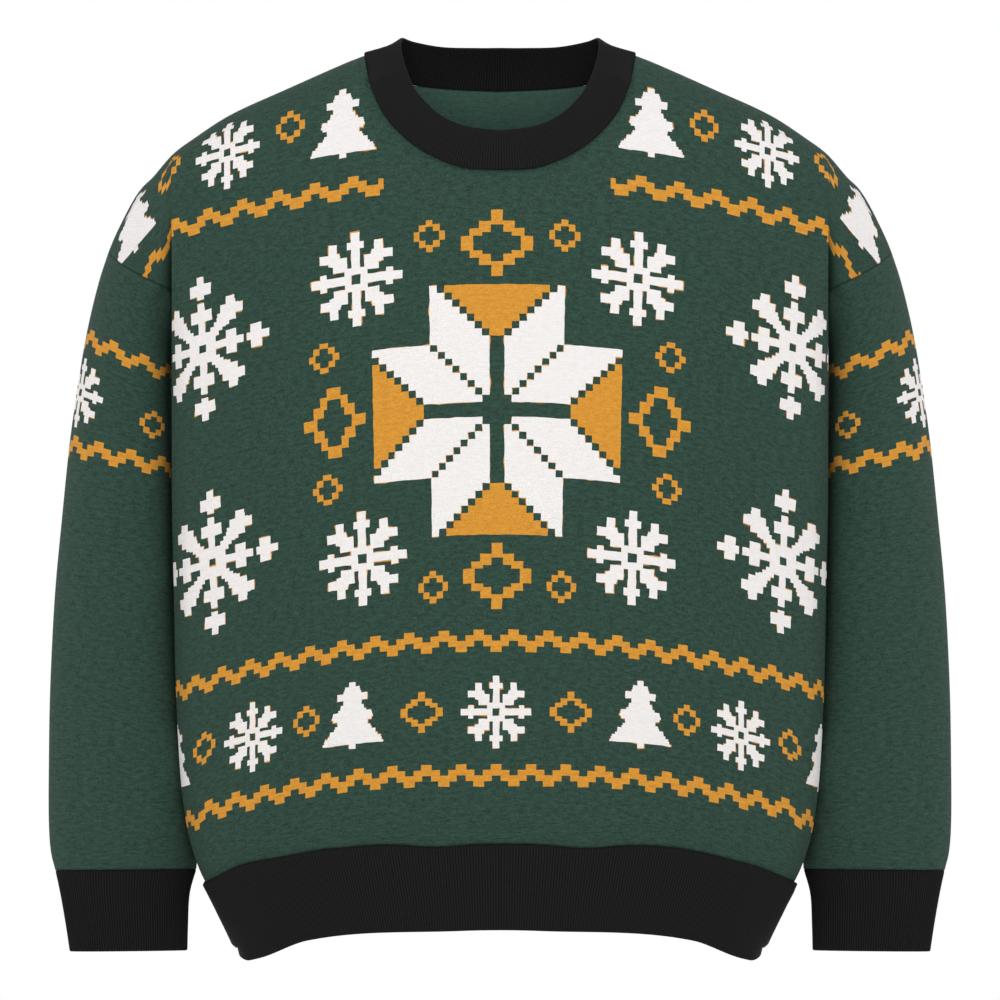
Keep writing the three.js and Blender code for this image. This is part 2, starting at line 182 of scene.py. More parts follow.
# how the yoke is gridded between the crease's foot and the shoulder: the share of the height at
# which the crease ends, and where the cap's rows end along the armhole seam and the outline
capTopShare = 0.615
capTopX = 297.8
capEndBelow = curveThrough(table(("share", "x"), [
    (0, 249), (0.14, 265), (0.28, 279), (0.41, 289), (0.52, 295.3), (0.615, 297.8)]), "share", "x")
capEndAbove = curveThrough(table(("share", "x"), [
    (0.615, 297.8), (0.71, 292), (0.8, 283), (0.88, 273), (0.95, 262), (1, 249)]), "share", "x")


def arc(share, power):
    return (1 - clamp(share, 0, 1) ** power) ** (1 / power)


def courseHeight(x, level):
    return level - courseArch * x * x


def levelOf(x, z):
    return z + courseArch * x * x


def openness(level):
    return smoothStep((level - chest["creaseFoot"]) / (chest["creaseTop"] - chest["creaseFoot"]))


def towardsRidge(x, z, y):
    ridge = shoulder["ridgeY"](x)
    below = (shoulder["z"](x) - z) / shoulder["reach"](x)
    within = (shoulderX(z) - x) / chest["armReach"]
    if below <= 0 or within <= 0:
        return ridge
    depth = min((below ** -4 + within ** -4) ** -0.25, 1)
    return ridge + (y - ridge) * math.sqrt(1 - (1 - depth) ** 2)


def openY(face, x, level):
    shape = openShape[face]
    middleY = bodyCurve[face + "Y"](level)
    chestY = middleY + (shape["edgeY"] - middleY) * min(x / chest["halfWidth"], 1) ** shape["power"]
    return lerp(chestY, shape["armY"], smoothStep((x - chest["halfWidth"]) / chest["armBlend"]))


def closedY(face, x, level):
    power = chest["frontPower"] if face == "front" else bodyCurve["backPower"](level)
    wideY = bodyCurve["wideY"](level)
    return lerp(wideY, bodyCurve[face + "Y"](level), arc(x / bodyCurve["halfWidth"](level), power))


def bodyPoint(face, x, level):
    z = courseHeight(x, level)
    y = lerp(closedY(face, x, level), openY(face, x, level), openness(level))
    return Vector((x, towardsRidge(x, z, y), z))


def sidePoint(level, y):
    wideY = bodyCurve["wideY"](level)
    share = (y - wideY) / (bodyCurve["backY"](level) - wideY)
    x = bodyCurve["halfWidth"](level) * arc(share, bodyCurve["backPower"](level))
    z = courseHeight(x, level)
    return Vector((x, towardsRidge(x, z, y), z))


def frontEndY(level):
    under = min(level, chest["underarm"])
    seamY = lerp(bodyCurve["wideY"](under), bodyCurve["backY"](under), chest["sideSeamShare"])
    if level <= chest["underarm"]:
        return seamY
    t = (level - chest["underarm"]) / (chest["creaseFoot"] - chest["underarm"])
    return seamY + (creaseFoot["front"]["y"] - seamY) * math.sin(t * math.pi / 2)


def frontEnd(level):
    return sidePoint(level, frontEndY(level))


def backEnd(level):
    if level <= chest["underarm"]:
        return frontEnd(level)
    t = (level - chest["underarm"]) / (chest["creaseFoot"] - chest["underarm"])
    return bodyPoint("back", lerp(frontEnd(chest["underarm"]).x, creaseFoot["back"]["x"], t), level)


def topZ(face, x):
    return neckSeam[face](x) if x <= chest["neckPointX"] else shoulder["z"](x)


# how finely the panels are gridded; columns are places from the middle to the edge, and they
# crowd where the cloth turns
fineness = {"neckColumns": 22, "chestColumns": 42, "sideColumns": 14, "lowerRows": 96, "upperRows": 60,
            "capColumns": 26}
neckColumns = [chest["neckPointX"] * i / fineness["neckColumns"] for i in range(fineness["neckColumns"] + 1)]
chestColumns = [
    lerp(chest["neckPointX"], chest["halfWidth"], math.sin(math.pi / 2 * i / fineness["chestColumns"]))
    for i in range(1, fineness["chestColumns"] + 1)]
columnX = neckColumns + chestColumns
lowerLevels = [lerp(chest["hemSeam"] - chest["hemTuck"], chest["creaseFoot"], i / fineness["lowerRows"])
               for i in range(fineness["lowerRows"] + 1)]
lowerShares = [capTopShare * i / 28 for i in range(29)]
upperShares = lowerShares + [lerp(capTopShare, 1, math.sin(math.pi / 2 * i / 28)) for i in range(1, 29)]


# the hem's seam and fold ride up on both sides of the middle, and drop again at the body's sides
def seamLift(x, level):
    seam, fold = chest["hemSeam"], hemShape["fold"]
    rise = hemShape["lift"] * smoothStep((x - hemShape["liftFrom"]) / hemShape["liftOver"])
    atSeam = rise * (1 - hemShape["sideShare"] * smoothStep((x - hemShape["sideFrom"]) / hemShape["sideOver"]))
    if level > seam:
        return atSeam * smoothStep((level - hemShape["above"]) / (seam - hemShape["above"]))
    atFold = rise * hemShape["foldShare"] * (1 - smoothStep((x - hemShape["foldSideFrom"]) / hemShape["sideOver"]))
    return lerp(atSeam, atFold, (seam - level) / (seam - fold))


# and puckers a little along its length, unevenly; the fold below it is rounded at its ends
def hemPucker(p):
    level = levelOf(p.x, p.z)
    near = max(1 - abs(level - chest["hemSeam"]) / hemShape["puckerReach"], 0)
    turn = 0 if p.y < 0 else 2
    wave = sum(height * math.sin(p.x / length + start + turn) for height, length, start in hemShape["puckers"])
    corner = clamp((abs(p.x) - hemShape["cornerX"]) / hemShape["corner"], 0, 1.4)
    low = smoothStep((hemShape["cornerLevel"] - level) / hemShape["corner"])
    return Vector((0, 0, wave * smoothStep(near) + hemShape["corner"] * 0.6 * corner * corner * low))


def lowerRow(face, level):
    row = plainRow(face, level)
    return [Vector((p.x, p.y, p.z + seamLift(p.x, level))) for p in row]


def plainRow(face, level):
    if face == "back":
        end = backEnd(level)
        row = [bodyPoint("back", x * end.x / chest["halfWidth"], level) for x in columnX]
        row[-1] = end
        return row
    halfWidth = bodyCurve["halfWidth"](level)
    row = [bodyPoint("front", x * halfWidth / chest["halfWidth"], level) for x in columnX]
    wideY = bodyCurve["wideY"](level)
    count = fineness["sideColumns"]
    row += [sidePoint(level, lerp(wideY, frontEndY(level), k / count)) for k in range(1, count + 1)]
    return row


def upperRow(face, share):
    edgeX = lerp(creaseFoot[face]["x"], chest["halfWidth"], share)
    row = []
    for column in columnX:
        x = column * edgeX / chest["halfWidth"]
        z = lerp(courseHeight(x, chest["creaseFoot"]), topZ(face, x), share)
        row.append(bodyPoint(face, x, levelOf(x, z)))
    return row


def creaseBottom(face, edge):
    if face == "back":
        return edge
    foot = frontEnd(chest["creaseFoot"])
    depth = 1 - openness(levelOf(edge.x, edge.z))
    return Vector((lerp(edge.x, foot.x, depth), lerp(edge.y, foot.y, depth), edge.z))


def capEnd(face, share):
    if share > capTopShare:
        x = capEndAbove(share)
        return Vector((x, 0, shoulder["z"](x)))
    startX = creaseFoot[face]["x"]
    along = (capEndBelow(share) - chest["halfWidth"]) / (capTopX - chest["halfWidth"])
    x = lerp(startX, capTopX, along)
    return Vector((x, 0, armholeSeam[face](x)))


def capRow(face, share, edge):
    start = creaseBottom(face, edge)
    end = capEnd(face, share)

    def surfaceY(x, z):
        return towardsRidge(x, z, openY(face, x, levelOf(x, z)))

    dip = start.y - surfaceY(start.x, start.z) if share < capTopShare else 0
    row = [start]
    for k in range(1, fineness["capColumns"] + 1):
        t = (1 - math.cos(math.pi * k / fineness["capColumns"])) / 2
        x, z = lerp(start.x, end.x, t), lerp(start.z, end.z, t)
        fade = math.exp((start.x - x) / creaseFoot[face]["fade"])
        row.append(Vector((x, surfaceY(x, z) + dip * fade, z)))
    return row


# The knit map beside each point: mm along its course, the course's level, and mm to the nearest
# seam, by which painted shade darkens the jersey along its seams. The yarn colours are charted on it.
seamFar = 20
knitMap = {
    "crowding": 0.034, "crowdingAt": 147, "crowdingPower": 2.4,  # wales crowd towards the sides
    "yokeEase": 0.4,  # less so over the yoke
    "lean": 0.00022, "leanFrom": -270, "leanEnds": (-400, -136.5),  # and lean in towards the hem
    "capSlope": 0.8, "capStep": 8, "capStepFade": 4, "capStretch": 1.45,  # courses drop down the cap
    "ease": 5, "easeAcross": 150, "easeFrom": -400, "easeOver": 130,  # and lie flatter above the hem
    "edgeDrop": 4, "edgeFrom": 218, "edgeOver": 12,  # but drop where the body turns to its side
    "turnFrom": 0.38, "turnShare": 0.85,  # over the shoulder's ridge the map follows the cloth backwards
    "sideFrom": 0.955, "sideShare": 0.5,  # and so it does where the body turns to its side
}


# how far and which way the map runs on where the cloth turns over the shoulder
def overShoulder(face, p):
    level = levelOf(p.x, p.z)
    if level < chest["creaseFoot"]:
        return 0, 0
    ridge = shoulder["ridgeY"](p.x)
    depth = openY(face, p.x, level) - ridge
    turned = max(knitMap["turnFrom"] - (p.y - ridge) / depth, 0) * abs(depth) * knitMap["turnShare"]
    slope = (shoulder["z"](p.x + 1) - shoulder["z"](p.x - 1)) / 2
    length = math.hypot(slope, 1)
    courseSlope = 2 * courseArch * p.x + (knitMap["capSlope"] if p.x > chest["halfWidth"] else 0)
    return turned * -slope / length, turned * (1 - slope * courseSlope) / length


def knitOnFace(face, p):
    along, level = knitAt(p.x, p.z)
    further, higher = overShoulder(face, p)
    return along + further, level + higher


# The place of a stitch: how far along its course it lies from the middle, and the course's level.
def knitAt(x, z):
    level = levelOf(x, z)
    past = max(x - chest["halfWidth"], 0) if level > chest["creaseFoot"] else 0
    within = x - past
    crowding = knitMap["crowding"] * (1 - knitMap["yokeEase"] * openness(level))
    along = within * (1 + crowding * (within / knitMap["crowdingAt"]) ** knitMap["crowdingPower"])
    along /= 1 + knitMap["lean"] * (clamp(level, *knitMap["leanEnds"]) - knitMap["leanFrom"])
    eased = knitMap["ease"] * smoothStep(x / knitMap["easeAcross"])
    eased -= knitMap["edgeDrop"] * smoothStep((x - knitMap["edgeFrom"]) / knitMap["edgeOver"])
    level -= eased * smoothStep((knitMap["easeFrom"] - level) / knitMap["easeOver"])
    drop = knitMap["capSlope"] * past + knitMap["capStep"] * (1 - math.exp(-past / knitMap["capStepFade"]))
    return along + knitMap["capStretch"] * past, level + drop


def lengthsAlong(points):
    lengths = [0]
    for before, after in zip(points, points[1:]):
        lengths.append(lengths[-1] + (after - before).length)
    return lengths


# Soft creases: gathers that the hem's band draws up, drag lines from the underarms,
# a slack fold or two over the belly, and elbow folds. Each runs from its foot to its top as a ridge,
# or a trough where its height is negative, that swells soon after the foot and dies away.
creaseColumns = ("footX", "footZ", "topX", "topZ", "width", "height")
creases = {
    "front": table(creaseColumns, [
        (-186, -612, -172, -500, 7, 1.6), (-152, -606, -146, -470, 9, -1.4), (-118, -604, -121, -520, 6, 1.3),
        (-88, -602, -80, -430, 10, 1.5), (-55, -600, -60, -505, 6, -1.2), (-24, -600, -20, -455, 8, 1.4),
        (9, -600, 6, -520, 6, 1.1), (38, -600, 46, -440, 10, -1.3), (70, -601, 66, -500, 7, 1.5),
        (104, -603, 112, -462, 8, 1.3), (137, -605, 130, -515, 6, -1.1), (168, -608, 160, -452, 9, 1.6),
        (-236, -205, -150, -330, 14, 1.8), (238, -210, 140, -345, 15, 1.6), (-238, -240, -178, -420, 12, -1.4),
        (236, -250, 190, -405, 11, -1.5), (-60, -330, 70, -352, 18, 0.9), (20, -405, 130, -388, 16, -0.9),
    ]),
    "back": table(creaseColumns, [
        (-178, -612, -160, -470, 9, 1.6), (-130, -606, -134, -510, 7, -1.3), (-92, -603, -84, -440, 10, 1.5),
        (-48, -601, -52, -500, 7, 1.2), (-6, -600, 2, -450, 9, -1.4), (36, -600, 33, -515, 6, 1.2),
        (80, -602, 88, -430, 10, 1.5), (124, -605, 119, -505, 7, 1.2), (166, -610, 158, -470, 9, -1.4),
        (-225, -200, -110, -300, 16, 2.2), (225, -205, 120, -290, 15, 2.0), (-220, -260, -150, -400, 12, -1.6),
        (222, -255, 165, -410, 13, -1.7), (-90, -110, 80, -122, 18, 1.4),
    ]),
    "sleeveFront": table(creaseColumns, [
        (252, -322, 322, -366, 9, 1.8), (254, -356, 318, -384, 7, -1.5), (250, -398, 326, -420, 10, 1.7),
        (330, -428, 272, -462, 9, 1.4), (248, -500, 316, -530, 9, 1.2), (336, -566, 288, -548, 8, 1.3),
        (250, -580, 300, -596, 7, 1.2),
    ]),
    "sleeveBack": table(creaseColumns, [
        (330, -350, 262, -378, 10, 1.8), (332, -384, 270, -404, 7, -1.6), (334, -414, 258, -436, 10, 1.9),
        (254, -470, 318, -486, 9, 1.3), (248, -548, 320, -572, 9, 1.4),
    ]),
}
creaseFade = {"edge": 238, "fade": 24, "sleeve": 30}


def creaseRise(face, p):
    rise = 0
    for crease in creases[face]:
        foot = Vector((crease["footX"], crease["footZ"]))
        run = Vector((crease["topX"], crease["topZ"])) - foot
        at = Vector((abs(p.x) if face.startswith("sleeve") else p.x, p.z)) - foot
        t = at.dot(run) / run.length_squared
        if 0 < t < 1:
            away = (at - run * t).length / crease["width"]
            rise += crease["height"] * math.sin(math.pi * math.sqrt(t)) * math.exp(-away * away)
    if face.startswith("sleeve"):
        return rise
    return rise * smoothStep((creaseFade["edge"] - abs(p.x)) / creaseFade["fade"])


# A sheet of cloth as points that its rows share, with the knit map beside each point.
class Cloth:
    def __init__(self, splits=True, creased=lambda point: point):
        self.splits = splits
        self.creased = creased
        self.points = []
        self.knit = []
        self.faces = []
        self.found = {}

    def index(self, point, knit):
        key = tuple(round(value * 50) for value in point)
        if self.splits:
            key += (round(knit[0] / 8), round(knit[1] / 8))
        if key not in self.found:
            self.found[key] = len(self.points)
            self.points.append(point.copy())
            self.knit.append(knit)
        return self.found[key]

    # side is 1 or -1, and turned says that rows and columns run the other way round
    def addGrid(self, rows, knits, side=1, turned=False):
        ids = [[self.index(self.creased(Vector((side * p.x, p.y, p.z))), (side * k[0], *k[1:]))
                for p, k in zip(row, places)] for row, places in zip(rows, knits)]
        for low, high in zip(ids, ids[1:]):
            for j in range(len(low) - 1):
                corners = [low[j], low[j + 1], high[j + 1], high[j]]
                corners = [c for n, c in enumerate(corners) if c != corners[n - 1]]
                if len(set(corners)) < 3:
                    continue
                self.faces.append(corners[::-1] if (side < 0) != turned else corners)

    def make(self, name):
        mesh = bpy.data.meshes.new(name)
        mesh.from_pydata([p * mm for p in self.points], [], self.faces)
        knit = mesh.attributes.new("knit", "FLOAT_VECTOR", "POINT")
        flat = [value for k in self.knit for value in k]
        knit.data.foreach_set("vector", flat)
        mesh.update()
        mesh.shade_smooth()
        made = bpy.data.objects.new(name, mesh)
        bpy.context.scene.collection.objects.link(made)
        return made


# behind the widest line the knitting goes on round the side, as long as it is there
def knitRow(row, aboveHem):
    turnX = knitMap["sideFrom"] * row[len(columnX) - 1].x
    turnY = next(p.y for p in row if p.x >= turnX)
    knits = [knitAt(p.x, p.z) for p in row[:len(columnX)]]
    knits = [(along + knitMap["sideShare"] * abs(p.y - turnY) * (p.x > turnX), level)
             for (along, level), p in zip(knits, row)]
    lengths = lengthsAlong(row[len(columnX) - 1:])
    knits += [(knits[-1][0] + length, knits[-1][1]) for length in lengths[1:]]
    return [(*knit, min(aboveHem, (row[-1] - p).length, seamFar)) for knit, p in zip(knits, row)]


def makePanel(face, name):
    outwards = -1 if face == "front" else 1
    cloth = Cloth(creased=lambda p: p + Vector((0, outwards * creaseRise(face, p), 0)) + hemPucker(p))
    lower = [lowerRow(face, level) for level in lowerLevels]
    lowerKnit = [knitRow(row, level - chest["hemSeam"]) for row, level in zip(lower, lowerLevels)]
    upper = [upperRow(face, share) for share in upperShares]
    upperKnit = [[(*knitOnFace(face, p), seamFar) for p in row] for row in upper]
    caps = [capRow(face, share, row[-1]) for share, row in zip(upperShares, upper)]
    caps[0] = [caps[0][0]] * len(caps[0])
    capKnit = [[(*knitOnFace(face, p), min((row[-1] - p).length, seamFar) if share < capTopShare else seamFar)
                for p in row] for share, row in zip(upperShares, caps)]
    grids = [(lower, lowerKnit), (upper, upperKnit), (caps, capKnit)]
    if face == "front":
        folds = [lower[-1][-fineness["sideColumns"] - 1:]]
        foldKnit = [lowerKnit[-1][-fineness["sideColumns"] - 1:]]
        for row, places in list(zip(upper, upperKnit))[1:len(lowerShares)]:
            edge, bottom = row[-1], creaseBottom(face, row[-1])
            count = fineness["sideColumns"]
            folds.append([edge.lerp(bottom, k / count) for k in range(count + 1)])
            width = (bottom - edge).length
            along, level, seam = places[-1]
            foldKnit.append([(along + width * k / count, level, seam) for k in range(count + 1)])
        folds[-1] = [folds[-1][0]] * len(folds[-1])
        foldKnit[-1] = [foldKnit[-1][0]] * len(foldKnit[-1])
        grids.append((folds, foldKnit))
    for side in (1, -1):
        for rows, knits in grids:
            cloth.addGrid(rows, knits, side, face == "back")
    return cloth.make(name)


def thicken(piece, thickness):
    modifier = piece.modifiers.new("wall", "SOLIDIFY")
    modifier.thickness = thickness * mm
    modifier.offset = -1
    modifier.material_offset = 1
    modifier.material_offset_rim = 0
    return piece


# sleeve: rings by their outer and inner points seen from the front, middle and half depth, how
# far front and back bow up to the neck, how far the points have settled to even spacing, and the
# power of the curve at the front next to the body, which is fuller than an ellipse's
ringColumns = (
    "outerX", "outerZ", "innerX", "innerZ", "middleY", "halfDepth", "bowX", "bowZ", "settled", "fullness")
sleeveRings = table(ringColumns, [
    (305, -171, 248, -240, 29, 58, 8, 14, 0, 2),
    (313, -204, 247.5, -262, 29, 60, 4, 12, 0.35, 2.3),
    (320, -243, 247, -290, 29, 60, 2, 9, 0.7, 2.7),
    (327, -292, 246.5, -328, 29, 59, 0, 6, 1, 3.1),
    (333, -350, 246, -377, 29, 57, 0, 4, 1, 3.2),
    (338.5, -410, 244.5, -430, 28, 54, 0, 2, 1, 3.2),
    (342, -480, 241, -494, 27, 50, 0, 1, 1, 3.2),
    (343, -540, 236, -549, 25, 46, 0, 0, 1, 3),
    (343, -580, 232, -586, 23, 42, 0, 0, 1, 2.7),
    (341.5, -603, 230.2, -605, 22, 37, 0, 0, 1, 2.3),
    (338, -618, 230.7, -617, 22, 32, 0, 0, 1, 2),
])
cuffRings = table(ringColumns, [
    (338, -618, 230.7, -617, 22, 32, 0, 0, 1, 2),
    (334, -637, 235.8, -636, 21, 31, 0, 0, 1, 2),
    (330, -660, 237, -659, 20, 29.5, 0, 0, 1, 2),
    (327, -680, 237.5, -679, 20, 28, 0, 0, 1, 2),
])
backCreaseTurn = 0.625
quarterSteps = 26
ringSteps = 7


def ringTurn(turn, settled):
    if turn <= 0.5:
        return turn
    crowded = lerp(0.5, backCreaseTurn, (turn - 0.5) / 0.25) if turn <= 0.75 \
        else lerp(backCreaseTurn, 1, (turn - 0.75) / 0.25)
    return lerp(crowded, turn, settled)


def tubeRing(ring, count):
    outer = Vector((ring["outerX"], ring["outerZ"]))
    inner = Vector((ring["innerX"], ring["innerZ"]))
    middle = (outer + inner) / 2
    reach = outer - middle
    points = []
    for k in range(count):
        angle = 2 * math.pi * ringTurn(k / count, ring["settled"])
        across, forwards = math.cos(angle), math.sin(angle)
        if across < 0 < forwards:
            across = -(-across) ** (2 / ring["fullness"])
            forwards = forwards ** (2 / ring["fullness"])
        bow = math.sin(angle) ** 2
        points.append(Vector((
            middle.x + reach.x * across - ring["bowX"] * bow,
            ring["middleY"] - ring["halfDepth"] * forwards,
            middle.y + reach.y * across + ring["bowZ"] * bow)))
    return points


# the armhole as one loop, from the outline's end of the seam down the front, under and back up
quarterShares = [0.615, 0.52, 0.41, 0.28, 0.14, 0]
quarterLevels = [-136.5, -148, -160, -172, -185, -198]


def between(values, t):
    place = clamp(t * (len(values) - 1), 0, len(values) - 1.0001)
    i = int(place)
    return lerp(values[i], values[i + 1], place - i)


def armholeLoop():
    def seamEnd(face, share):
        return capRow(face, share, upperRow(face, share)[-1])[-1] if share > 1e-6 \
            else creaseBottom(face, upperRow(face, 0)[-1])

    steps = [k / quarterSteps for k in range(quarterSteps)]
    loop = [seamEnd("front", between(quarterShares, t)) for t in steps]
    loop += [frontEnd(between(quarterLevels, t)) for t in steps]
    loop += [backEnd(between(quarterLevels, 1 - t)) for t in steps]
    loop += [seamEnd("back", between(quarterShares, 1 - t)) for t in steps]
    return loop


def throughRings(rings, steps):
    last = len(rings) - 1
    rows = []
    for i in range(last):
        for s in range(steps):
            t = s / steps
            row = []
            for k in range(len(rings[0])):
                a, b = rings[i][k], rings[i + 1][k]
                slopeA = (b - rings[max(i - 1, 0)][k]) / (1 if i == 0 else 2)
                slopeB = (rings[min(i + 2, last)][k] - a) / (1 if i == last - 1 else 2)
                row.append(a * (1 + 2 * t) * (1 - t) ** 2 + b * t * t * (3 - 2 * t)
                           + slopeA * t * (1 - t) ** 2 - slopeB * t * t * (1 - t))
            rows.append(row)
    rows.append(rings[-1])
    return rows


# the slope of the sleeve's courses towards the body, at some heights
sleeveCourse = curveThrough(table(("z", "slope"), [
    (-620, 0), (-560, 0.02), (-430, 0.1), (-300, 0.24), (-225, 0.48), (-160, 0.62)]), "z", "slope")
sleeveOutline = 316
# the print of stitches is laid half flat: by distance across the arm as well as round it
sleeveFlatness = 0.45


def knitOnSleeve(rows):
    knits = []
    for row in rows:
        lengths = lengthsAlong(row)
        widest = max(p.x for p in row)
        knit = []
        for k, (p, length) in enumerate(zip(row, lengths)):
            around = min(length, lengths[-1] - length)
            along = lerp(around, widest - p.x, sleeveFlatness)
            level = p.z + sleeveCourse(p.z) * (sleeveOutline - p.x)
            seam = min((p - rows[0][k]).length, (p - rows[-1][k]).length, seamFar)
            knit.append((along if length < lengths[-1] / 2 else -along, level, seam))
        knits.append(knit)
    return knits


def sleeveCrease(p):
    offset = p.y - sleeveRings[0]["middleY"]
    share = clamp(offset / creaseFade["sleeve"], -1, 1)
    return p + Vector((0, share * creaseRise("sleeveBack" if offset > 0 else "sleeveFront", p), 0))


def makeSleeve(name, side):
    cloth = Cloth(creased=sleeveCrease)
    rings = [armholeLoop()] + [tubeRing(ring, 4 * quarterSteps) for ring in sleeveRings]
    rows = [row + [row[0]] for row in throughRings(rings, ringSteps)]
    knits = knitOnSleeve(rows)
    cloth.addGrid(rows, [[(k[0] * side, *k[1:]) for k in row] for row in knits], side)
    return cloth.make(name)


# ribs: doubled bands with a fold at the free edge and fine upright ribs raised in them
rib = {"pitch": 2.2, "relief": 0.75, "thickness": 3.0, "rows": 14, "roundRows": 4, "pointsARib": 4}


def resample(points, count):
    lengths = lengthsAlong(points)
    made = []
    i = 0
    for k in range(count):
        want = lengths[-1] * k / count
        while i < len(lengths) - 2 and lengths[i + 1] < want:
            i += 1
        t = (want - lengths[i]) / max(lengths[i + 1] - lengths[i], 1e-9)
        made.append(points[i].lerp(points[i + 1], t))
    return made


# rings run from the seam to the fold; each is closed, without its first point repeated
def makeRibBand(name, rings, flipped):
    count = len(rings[0])
    normals = []
    for i, ring in enumerate(rings):
        before, after = rings[max(i - 1, 0)], rings[min(i + 1, len(rings) - 1)]
        row = []
        for k in range(count):
            along = ring[(k + 1) % count] - ring[k - 1]
            down = after[k] - before[k]
            normal = along.cross(down).normalized()
            row.append(-normal if flipped else normal)
        normals.append(row)
    heights = lengthsAlong([ring[0] for ring in rings])
    total = heights[-1]
    half = rib["thickness"] / 2

    def wallRow(i, side):
        edge = max(0, 1 - (total - heights[i]) / half)
        seam = max(0, 1 - heights[i] / half)
        swell = math.sqrt(max(0, 1 - max(edge, seam) ** 2))
        row = []
        for k in range(count):
            ridge = 0.5 + 0.5 * math.cos(2 * math.pi * k / rib["pointsARib"])
            offset = -half + side * half * swell - (1 - ridge) * rib["relief"] * swell * (side > 0)
            row.append(rings[i][k] + normals[i][k] * offset)
        return row

    rows = [wallRow(i, 1) for i in range(len(rings))]
    rows += [wallRow(i, -1) for i in reversed(range(1, len(rings) - 1))]
    rows.append(rows[0])
    cloth = Cloth(splits=False)
    closed = [row + [row[0]] for row in rows]
    lengths = [k * rib["pitch"] / rib["pointsARib"] for k in range(count + 1)]
    heightOf = [heights[i] for i in range(len(rings))]
    heightOf += [2 * total - heights[i] for i in reversed(range(1, len(rings) - 1))] + [2 * total]
    knits = [[(length, height, min(height, 2 * total - height)) for length in lengths] for height in heightOf]
    cloth.addGrid(closed, knits, 1, flipped)
    return cloth.make(name)


def crowdedShares(height):
    half = rib["thickness"] / 2
    count, extra = rib["rows"], rib["roundRows"]
    ends = [half * (1 - math.cos(math.pi / 2 * i / extra)) / height for i in range(extra)]
    middle = [lerp(half, height - half, i / count) / height for i in range(count + 1)]
    return ends + middle + [1 - share for share in reversed(ends)]


def ribCount(points):
    return round(lengthsAlong(points + [points[0]])[-1] / rib["pitch"]) * rib["pointsARib"]


def hemRing(level):
    half = lowerRow("front", level) + lowerRow("back", level)[-2::-1]
    mirrored = [Vector((-p.x, p.y, p.z)) for p in reversed(half[1:-1])]
    return half + mirrored


def makeHem():
    low, high = hemShape["fold"], chest["hemSeam"]
    shares = crowdedShares(high - low)
    count = ribCount(hemRing(high))
    rings = []
    for share in shares:
        ring = [p + hemPucker(p) for p in hemRing(lerp(high, low, share))]
        rings.append(resample(ring + [ring[0]], count))
    return makeRibBand("hemRib", rings, False)


def makeCuff(name, side):
    height = 62
    rows = [tubeRing(ring, 160) for ring in cuffRings]
    fine = throughRings(rows, 12)
    shares = crowdedShares(height)
    count = ribCount(fine[0])
    rings = []
    for share in shares:
        place = clamp(share * (len(fine) - 1), 0, len(fine) - 1.0001)
        i = int(place)
        ring = [a.lerp(b, place - i) for a, b in zip(fine[i], fine[i + 1])]
        rings.append([Vector((side * p.x, p.y, p.z)) for p in resample(ring + [ring[0]], count)])
    return makeRibBand(name, rings, side < 0)


# collar: its fold edge from the front's middle over the side to the back's middle
collarEdge = [
    (0, -57, -57.8), (25.6, -54.5, -54.3), (43.1, -49, -46.9), (55.3, -41, -36.5),
    (64.9, -30, -24.2), (71.4, -14, -8.5), (74.5, 3, 6.5), (72.7, 16, 12.6), (64, 30, 10.6),
    (43, 41, 7.2), (17, 45.5, 6.5), (0, 46, 6.5),
]
collar = {"bulge": 2.5, "hollow": 4.5, "middleY": -6, "height": 32, "edgeSteps": 16}


def throughPoints(points, steps):
    rings = [[Vector(p)] for p in points]
    return [row[0] for row in throughRings(rings, steps)]


def makeCollar():
    def seamPoint(face, x):
        return bodyPoint(face, x, levelOf(x, topZ(face, x)))

    seam = [seamPoint("front", x) for x in neckColumns] + [seamPoint("back", x) for x in neckColumns[-2::-1]]
    count = 160
    seamHalf = resample(seam, count) + [seam[-1]]
    edgeHalf = resample(throughPoints(collarEdge, collar["edgeSteps"]), count) + [Vector(collarEdge[-1])]
    shares = crowdedShares(collar["height"])
    seamRing = seamHalf + [Vector((-p.x, p.y, p.z)) for p in reversed(seamHalf[1:-1])]
    ribs = ribCount(seamRing)
    rings = []
    for share in shares:
        half = []
        for point, onEdge in zip(seamHalf, edgeHalf):
            outwards = Vector((point.x, point.y - collar["middleY"], 0)).normalized()
            swell = collar["bulge"] - collar["hollow"] * abs(outwards.x) ** 6
            half.append(point.lerp(onEdge, share) + outwards * swell * 4 * share * (1 - share))
        ring = half + [Vector((-p.x, p.y, p.z)) for p in reversed(half[1:-1])]
        rings.append(resample(ring + [ring[0]], ribs))
    return makeRibBand("neckRib", rings, True)


def toLinear(code):
    value = int(code.lstrip("#"), 16)
    parts = [(value >> shift & 255) / 255 for shift in (16, 8, 0)]
    linear = [part / 12.92 if part <= 0.04045 else ((part + 0.055) / 1.055) ** 2.4 for part in parts]
    return (*linear, 1)


# adds a node with its settings and links; inputs go to its open sockets in turn, or by their names,
# and a node given as an input is read at its first open output
def addNode(tree, kind, inputs=(), **settings):
    made = tree.nodes.new("ShaderNode" + kind)
    for name, value in settings.items():
        setattr(made, name, value)
    used = [socket for socket in made.inputs if socket.enabled]
    if isinstance(inputs, dict):
        pairs = [(next(socket for socket in used if socket.name == name), value) for name, value in inputs.items()]
    else:
        pairs = zip(used, inputs)
    for socket, value in pairs:
        if isinstance(value, bpy.types.Node):
            value = next(output for output in value.outputs if output.enabled)
        if isinstance(value, bpy.types.NodeSocket):
            tree.links.new(value, socket)
        else:
            socket.default_value = value
    return made
